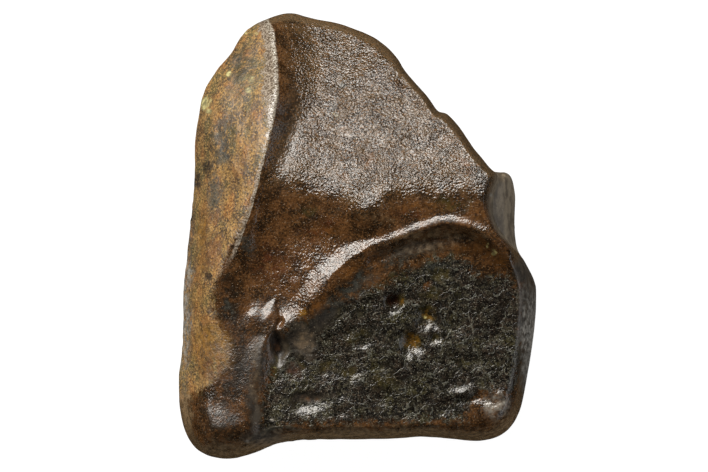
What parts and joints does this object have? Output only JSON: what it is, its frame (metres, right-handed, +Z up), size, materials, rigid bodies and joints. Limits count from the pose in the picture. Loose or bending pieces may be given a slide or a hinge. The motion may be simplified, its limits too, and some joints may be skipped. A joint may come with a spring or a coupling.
{
  "type": "triceratops shed tooth",
  "caption": "Shed and worn tooth of a horned dinosaur, a brown fossil crown with a sharp side ridge, a tilted enamel face and a pitted, rimmed root hollow, lying loose on its back.",
  "frame": {"origin": "centre of the bounding box in plan, on the surface that the tooth lies on", "axes": "+Y from the resorbed root end towards the crown's worn tip, +Z up out of the enamel face, +X to the right of the two"},
  "size_m": [0.02, 0.025, 0.0105],
  "materials": {
    "fossil_enamel": "dark brown fossil enamel and dentine with a low, fine-grained polish"
  },
  "bodies": {
    "root": {"tooth": "fossil_enamel"}
  },
  "joints": []
}
